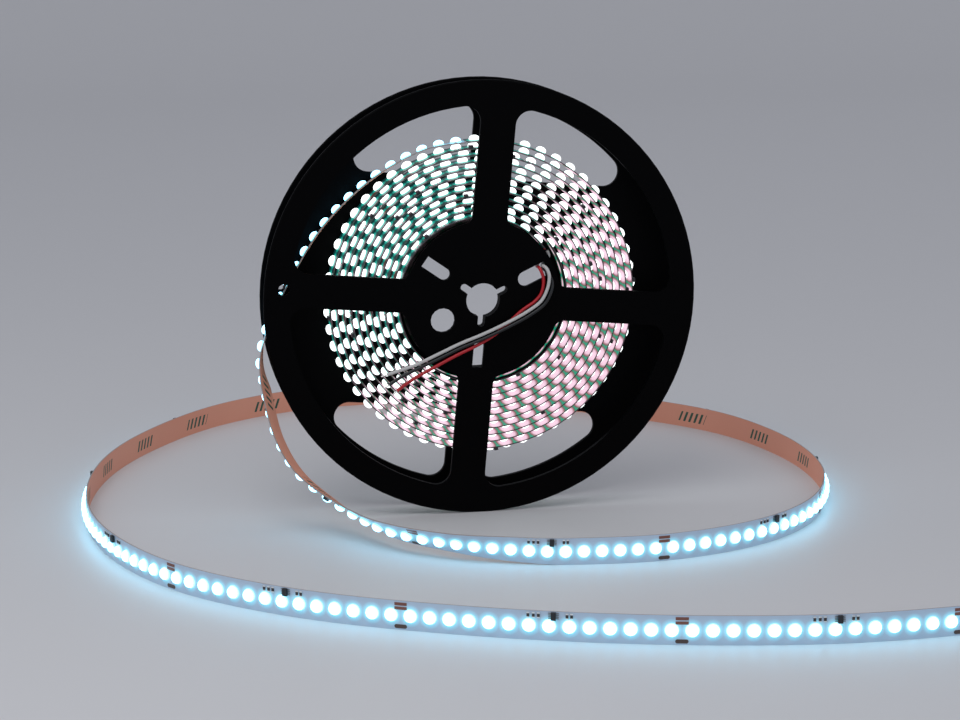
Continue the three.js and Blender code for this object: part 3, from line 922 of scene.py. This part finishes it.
class LedStrip:
    """The strip: board, LEDs, liner and what is soldered between the LEDs."""

    STEPS = 4  # stations to each LED
    LIT_SHARE = 0.36  # how much of the way across counts where light reaches the edges
    END_MARGIN = 0.6  # LEDs from a stretch's ends within which no small part lies

    def __init__(self, run: StripRun, palette: Palette) -> None:
        """Keeps the route and the materials.

        Args:
            run: Every place along the strip.
            palette: The materials.
        """
        self.run = run
        self.palette = palette
        self.sizes = run.sizes
        self.front = run.sizes.thickness / 2
        self.depths = {Layer.BOARD: (self.front - self.sizes.board, self.front),
                       Layer.LINER: (-self.front, self.sizes.liner - self.front)}

    def layer(self, layer: Layer, stretch: Stretch, finish: Finish, edge: Finish) -> Piece:
        """Builds one layer of a stretch.

        Args:
            layer: Which layer.
            stretch: Which stretch.
            finish: Its finish.
            edge: The finish of its narrow edges.

        Returns:
            The layer.
        """
        shape = Shape()
        stations = self.run.stations(stretch, self.STEPS)
        shape.ribbon(stations, self.sizes.width / 2, *self.depths[layer])
        piece = shape.piece(f"strip_{layer.value}_{stretch.value}")
        self.mark_run(piece, len(stations), layer is Layer.LINER and stretch is Stretch.WOUND)
        self.palette.paint_ribbon(piece, finish, edge)
        return piece

    def mark_run(self, piece: Piece, stations: int, over_leds: bool) -> None:
        """Stores on a ribbon's points how far along and across it they are.

        Args:
            piece: A piece made of one ribbon.
            stations: How many stations it has.
            over_leds: Whether the LEDs under the ribbon light it. The way along is then measured on the turn
                under it, and the way across counts less. Where no turn is under it, the way across is set
                beyond the reach of the light.
        """
        step = self.sizes.pitch / self.STEPS
        half = self.sizes.width / 2
        unlit = self.sizes.width
        wound = self.run.wound_leds * self.sizes.pitch
        values = []
        for i in range(stations):
            along, across = i * step, half
            if over_leds:
                along = self.run.winding.one_turn_in(along, wound)
                across = half * self.LIT_SHARE if along > 0 else unlit
            for side in (-across, across, across, -across):
                values.extend((along, side, 0.0))
        attribute = piece.data.attributes.new(RUN_MARK, "FLOAT_VECTOR", "POINT")
        attribute.data.foreach_set("vector", values)

    def leds(self, stretch: Stretch, finish: Finish) -> Piece:
        """Builds the LEDs of a stretch, all from one modelled lens, with their finish."""
        lens = modelled_lens(self.sizes.led_width, self.sizes.led_height)
        first, last = self.run.span(stretch)
        seat = Matrix.Translation((0, 0, self.front))
        shape = Shape()
        shape.copies(lens, (self.run.station(led + 0.5).matrix() @ seat for led in range(first, last)))
        piece = shape.piece(f"strip_leds_{stretch.value}", smooth_angle=60)
        heights = [vertex.co.z / self.sizes.led_height for vertex in lens.vertices]
        attribute = piece.data.attributes.new(HEIGHT_MARK, "FLOAT", "POINT")
        attribute.data.foreach_set("value", heights * (last - first))
        self.palette.paint(piece, finish)
        return piece

    def in_segments(self, stretch: Stretch, place: Row) -> list[Matrix]:
        """Returns where one part of every segment is in a stretch.

        Args:
            stretch: Which stretch.
            place: The part's place in its segment: LEDs from the cut line, then metres along and across.

        Returns:
            One matrix for each segment that has the part there.
        """
        first, last = self.run.span(stretch)
        led, along, across = place
        seat = Matrix.Translation((0, across, self.front))
        found = []
        for segment in range(self.sizes.segments):
            at = segment * self.sizes.leds_per_segment + led + along / self.sizes.pitch
            if first + self.END_MARGIN < at < last - self.END_MARGIN:
                found.append(self.run.station(at).matrix() @ seat)
        return found

    def small(self, stretch: Stretch, part: SmallPart) -> Piece:
        """Builds one kind of small part along a stretch.

        Args:
            stretch: Which stretch.
            part: What the part is.

        Returns:
            All its copies as one piece.
        """
        pattern = (modelled_round_pad(part.size) if part.round_ends
                   else modelled_block(part.size, part.lift, part.bevel))
        shape = Shape()
        for place in part.places:
            shape.copies(pattern, self.in_segments(stretch, place))
        piece = shape.piece(f"strip_{part.kind}_{stretch.value}")
        self.palette.paint(piece, part.finish)
        return piece

    def build_loose(self, chips: Sequence[Piece]) -> None:
        """Args:
            chips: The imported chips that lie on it.
        """
        board = self.layer(Layer.BOARD, Stretch.LOOSE, BOARD_LACQUER_PAINTED_GLOW, LOOSE_EDGE)
        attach(board, "root")
        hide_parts("loose_strip")
        liner = self.layer(Layer.LINER, Stretch.LOOSE, LINER_PAPER, LOOSE_EDGE)
        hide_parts("loose_liner")
        on_it = [self.leds(Stretch.LOOSE, LENS), liner]
        on_it += [self.small(Stretch.LOOSE, part) for part in SMALL_PARTS]
        for piece in on_it:
            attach(piece, "root")
        for chip in chips:
            self.palette.paint(chip, CHIP_EPOXY)
        path = [place.middle for place in self.run.stations(Stretch.LOOSE, self.STEPS)]
        length = self.run.loose_leds * self.sizes.pitch
        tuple(path[0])
        LOG.info("loose strip: %.3f m, %d LEDs", length, self.run.loose_leds)

    def build_wound(self) -> None:
        """Builds the turns on the core."""
        board = self.layer(Layer.BOARD, Stretch.WOUND, WOUND_LACQUER_PAINTED_SHADE_AND_GLOW, WOUND_EDGE_PAINTED_SHADE)
        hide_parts("wound_strip")
        liner = self.layer(Layer.LINER, Stretch.WOUND, WOUND_LINER_PAINTED_SHADE_AND_GLOW, WOUND_EDGE_PAINTED_SHADE)
        pieces = [board, liner, self.leds(Stretch.WOUND, WOUND_LENS)]
        pieces += [self.small(Stretch.WOUND, part) for part in (*SMALL_PARTS, WOUND_CHIPS)]
        for piece in pieces:
            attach(piece, "root")
        LOG.info("wound strip: %d LEDs", self.run.wound_leds)


@dataclass(frozen=True)
class Lead:
    """One insulated lead with a short tinned end."""

    name: str
    finish: Finish
    rows: tuple[Row, ...]
    hub_height: float
    diameter: float = 1.4 * MM
    sides: int = 16
    ring_step: float = 0.6 * MM
    bared: float = 2.6 * MM
    strand: float = 0.6 * MM
    strand_sides: int = 10
    strand_ring_step: float = 0.3 * MM
    strand_shares: Row = (-0.25, 0.5, 1)
    smooth_angle: float = 50

    def build(self, palette: Palette) -> None:
        """Builds the lead and its bared end.

        Args:
            palette: The materials.
        """
        route = SmoothRoute(rows_to_vectors(self.rows, self.hub_height))
        sleeve = Shape()
        path = sleeve.tube(route, self.diameter / 2, self.sides, self.ring_step)
        piece = sleeve.piece(f"lead_{self.name}_sleeve", self.smooth_angle)
        palette.paint(piece, self.finish)
        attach(piece, "root")
        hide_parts(f"lead_{self.name}")
        end = route.samples[-1]
        away = route.tangent(len(route.points) - 1.0)
        tip = Shape()
        tip_route = SmoothRoute([end + away * self.bared * share for share in self.strand_shares])
        tip.tube(tip_route, self.strand / 2, self.strand_sides, self.strand_ring_step)
        core = tip.piece(f"lead_{self.name}_end", self.smooth_angle)
        palette.paint(core, TINNED)
        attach(core, "root")
        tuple(path[0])
        route.length
        LOG.info("lead %s: %.3f m", self.name, route.length)


# Lead routes relative to the reel's axis, from the strip's inner end, through the slot and across the hub
WHITE_ROUTE: tuple[Row, ...] = (
    (28.4, -3.1, 18.9), (28.9, -3.1, 16.8), (27.9, -3.5, 14.9), (26.1, -4.7, 13.8), (25.4, -6.5, 13.5),
    (25.5, -7.9, 13.5), (26.3, -9.8, 12.9), (27.3, -10.6, 10.6), (27.4, -10.6, 7.7), (26.7, -10.6, 4.3),
    (24.1, -10.6, -0.7), (18.2, -10.6, -5), (9.4, -10.6, -9.5), (0.1, -10.1, -13.7), (-10, -9, -17.8),
    (-20.2, -9, -22.3), (-29, -9, -26.1), (-34.8, -9, -27.9), (-40.6, -9, -29.6),
)
BLACK_ROUTE: tuple[Row, ...] = (
    (28.4, 0, 18.9), (29, 0, 16.7), (28.2, -0.5, 14.4), (26.6, -2.3, 12.5), (26.1, -5.4, 11.9),
    (26.2, -7.6, 11.8), (27.4, -9, 10.4), (28.4, -9.1, 8.6), (29, -9.7, 6.3), (28.4, -10.5, 3.2),
    (25.6, -10.6, -2), (19.1, -10.6, -6.7), (10.2, -10.6, -11.2), (0.9, -10.1, -15.4), (-9.3, -9, -19.5),
    (-19.4, -9, -24), (-28.4, -9, -27.9), (-34.2, -9, -30.5), (-39.9, -9, -34),
)
RED_ROUTE: tuple[Row, ...] = (
    (28.4, 3.1, 18.9), (28.8, 3.1, 16.8), (27.7, 2.5, 14.8), (25.2, 0.5, 13.3), (23.8, -3.6, 12.8),
    (23.8, -7.5, 12.8), (24.5, -9, 11.2), (25.4, -9, 8.1), (24.6, -9, 2.5), (22, -9, -0.9),
    (16.7, -9, -4.5), (10.8, -9, -9.5), (5.2, -9, -14.2), (-1.8, -9, -18.3), (-11.3, -9, -22.6),
    (-19.8, -9, -26.8), (-29, -9, -31.5), (-34.8, -9, -35.3), (-36.5, -9, -36.7),
)


@dataclass(frozen=True)
class Reel:
    """The black plastic reel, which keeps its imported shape."""

    pieces: tuple[str, ...] = ("front_flange", "back_flange", "winding_core")

    def build(self, nodes: dict[str, Piece], palette: Palette) -> None:
        """Dresses the flanges and the core.

        Args:
            nodes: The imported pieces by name.
            palette: The materials.
        """
        for name in self.pieces:
            palette.paint(nodes[name], REEL_PLASTIC)
            LOG.info("%s dressed", name)


@dataclass(frozen=True)
class Studio:
    """Floor, backdrop, lamp and camera."""

    lens: float = 82.5
    sensor: float = 36.0
    camera_place: Row = (-0.1813, -0.8848, 0.2592)
    camera_pitch: float = 77.8
    camera_yaw: float = -11.6
    backdrop_colour: RGB = (0.62, 0.62, 0.63)
    backdrop_roughness: float = 0.5
    room_colour: RGB = (0.535, 0.55, 0.6)
    floor_size: float = 8.0
    floor_place: Row = (0, -1, 0)
    wall_height: float = 3.0
    sweep: float = 1.2
    sweep_steps: int = 16
    lamp_place: Row = (-0.3, -0.4, 0.75)
    lamp_target: Row = (-0.2, -0.4, 0)
    lamp_size: float = 0.5
    lamp_watts: float = 1.9

    def add_camera(self) -> None:
        """Adds the camera at the photograph's angle."""
        data = bpy.data.cameras.new("camera")
        data.lens = self.lens
        data.sensor_width = self.sensor
        data.clip_start = 0.01
        camera = bpy.data.objects.new("camera", data)
        camera.location = self.camera_place
        camera.rotation_euler = (math.radians(self.camera_pitch), 0, math.radians(self.camera_yaw))
        bpy.context.scene.collection.objects.link(camera)
        bpy.context.scene.camera = camera

    @staticmethod
    def on_edges(piece: Piece, chosen: Callable[[Vector], bool], step: Callable[[], object]) -> None:
        """Runs a modelling step on some of a piece's edges.

        Args:
            piece: The piece, which is the active one.
            chosen: Tells whether a point belongs to the edges that are worked on.
            step: The step, which runs in edit mode.
        """
        for edge in piece.data.edges:
            edge.select = all(chosen(piece.data.vertices[i].co) for i in edge.vertices)
        bpy.ops.object.mode_set(mode="EDIT")
        step()
        bpy.ops.object.mode_set(mode="OBJECT")

    def add_backdrop(self) -> None:
        """Adds the pale floor, which rises behind the reel in one smooth sweep."""
        bpy.ops.mesh.primitive_plane_add(size=self.floor_size, location=self.floor_place)
        backdrop = bpy.context.object
        backdrop.name = "backdrop"
        bpy.ops.object.transform_apply(location=True)
        in_edit_mode(backdrop, lambda: bpy.ops.mesh.select_mode(type="EDGE"),
                     lambda: bpy.ops.mesh.select_all(action="DESELECT"))
        near = 0.01
        far = max(vertex.co.y for vertex in backdrop.data.vertices) - near
        rise = {"value": (0, 0, self.wall_height)}
        bend = {"offset": self.sweep, "segments": self.sweep_steps, "affect": "EDGES"}
        self.on_edges(backdrop, lambda end: end.y > far,
                      lambda: bpy.ops.mesh.extrude_region_move(TRANSFORM_OT_translate=rise))
        self.on_edges(backdrop, lambda end: end.y > far and end.z < near, lambda: bpy.ops.mesh.bevel(**bend))
        bpy.ops.object.shade_smooth()
        material = bpy.data.materials.new("backdrop_paper")
        material.use_nodes = True
        shader = material.node_tree.nodes["Principled BSDF"]
        shader.inputs["Base Color"].default_value = (*self.backdrop_colour, 1)
        shader.inputs["Roughness"].default_value = self.backdrop_roughness
        backdrop.data.materials.append(material)

    def add_lamp(self) -> None:
        """Adds the square soft lamp overhead."""
        data = bpy.data.lights.new("overhead", "AREA")
        data.size = self.lamp_size
        data.energy = self.lamp_watts
        lamp = bpy.data.objects.new("overhead", data)
        lamp.location = self.lamp_place
        aim = Vector(self.lamp_target) - Vector(self.lamp_place)
        lamp.rotation_euler = aim.to_track_quat("-Z", "Y").to_euler()
        bpy.context.scene.collection.objects.link(lamp)

    def add_world(self) -> None:
        """Adds the even light of the room."""
        world = bpy.data.worlds.new("room")
        world.use_nodes = True
        background = world.node_tree.nodes["Background"]
        background.inputs["Color"].default_value = (*self.room_colour, 1)
        bpy.context.scene.world = world

    def build(self) -> None:
        """Builds the whole studio."""
        bpy.context.scene.view_settings.view_transform = "Standard"
        self.add_camera()
        self.add_backdrop()
        self.add_world()
        self.add_lamp()


def main() -> None:
    """Builds the reel's looks in order."""
    logging.basicConfig(level=logging.INFO, format="%(name)s: %(message)s")
    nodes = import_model()["nodes"]
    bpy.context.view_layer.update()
    Studio().build()
    palette = Palette()
    low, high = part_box("front_flange")
    hub_height = (low.z + high.z) / 2
    strip = LedStrip(StripRun(StripSizes(), Winding(hub_height)), palette)
    strip.build_loose([nodes[name] for name in sorted(nodes) if name.startswith("driver_chip")])
    for name, finish, rows in (("white", WHITE_SLEEVE, WHITE_ROUTE), ("black", BLACK_SLEEVE, BLACK_ROUTE),
                               ("red", RED_SLEEVE, RED_ROUTE)):
        Lead(name, finish, rows, hub_height).build(palette)
    Reel().build(nodes, palette)
    strip.build_wound()


if __name__ == "__main__":
    main()
